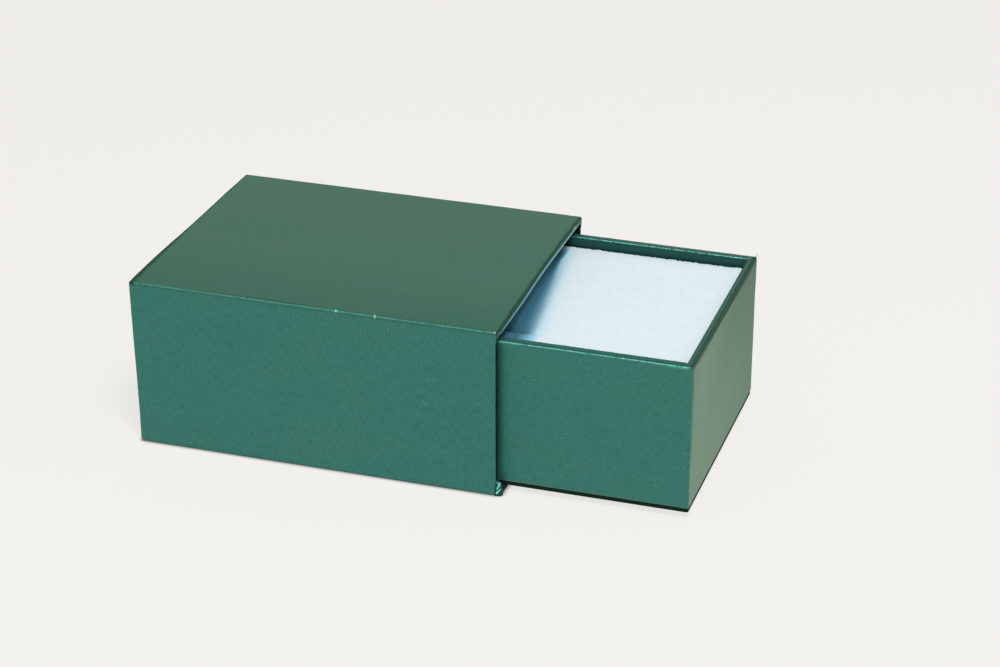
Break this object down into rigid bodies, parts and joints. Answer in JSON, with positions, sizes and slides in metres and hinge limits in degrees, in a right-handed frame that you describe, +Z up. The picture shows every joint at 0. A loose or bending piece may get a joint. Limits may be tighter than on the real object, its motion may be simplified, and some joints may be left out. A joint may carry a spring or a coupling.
{
  "type": "slide-out jewelry gift box",
  "caption": "Rigid paper-wrapped gift box: a shallow tray with a flocked foam pad slides out of an open-ended sleeve.",
  "frame": {"origin": "centre of the sleeve's underside, on the surface that the box stands on", "axes": "+X the way the tray is pulled out, +Y the sleeve's back, +Z up"},
  "size_m": [0.128, 0.066, 0.04],
  "materials": {
    "pearl_green_paper": "satin",
    "plain_green_paper": "matte",
    "greyboard": "matte",
    "kraft_tape": "satin",
    "white_card": "matte",
    "white_foam": "matte",
    "pale_blue_flock": "matte"
  },
  "bodies": {
    "sleeve": {"sleeve_top_board": "greyboard", "sleeve_bottom_board": "greyboard", "sleeve_front_board": "greyboard", "sleeve_back_board": "greyboard", "sleeve_edge_tape_1": "kraft_tape", "sleeve_edge_tape_2": "kraft_tape", "sleeve_edge_tape_3": "kraft_tape", "sleeve_edge_tape_4": "kraft_tape", "sleeve_wrap": "pearl_green_paper", "sleeve_closing_strip": "pearl_green_paper", "sleeve_lining": "plain_green_paper"},
    "tray": {"tray_floor_board": "greyboard", "tray_front_board": "greyboard", "tray_back_board": "greyboard", "tray_pull_end_board": "greyboard", "tray_inner_end_board": "greyboard", "tray_corner_tape_1": "kraft_tape", "tray_corner_tape_2": "kraft_tape", "tray_corner_tape_3": "kraft_tape", "tray_corner_tape_4": "kraft_tape", "tray_wrap": "pearl_green_paper", "tray_base_card": "plain_green_paper", "pad_riser": "white_card", "pad_foam": "white_foam", "pad_cover": "pale_blue_flock"}
  },
  "joints": [
    {"name": "tray_slide", "type": "slide", "parent": "sleeve", "child": "tray", "axis": [1, 0, 0], "range_m": [-0.1195, 0.0325]}
  ]
}
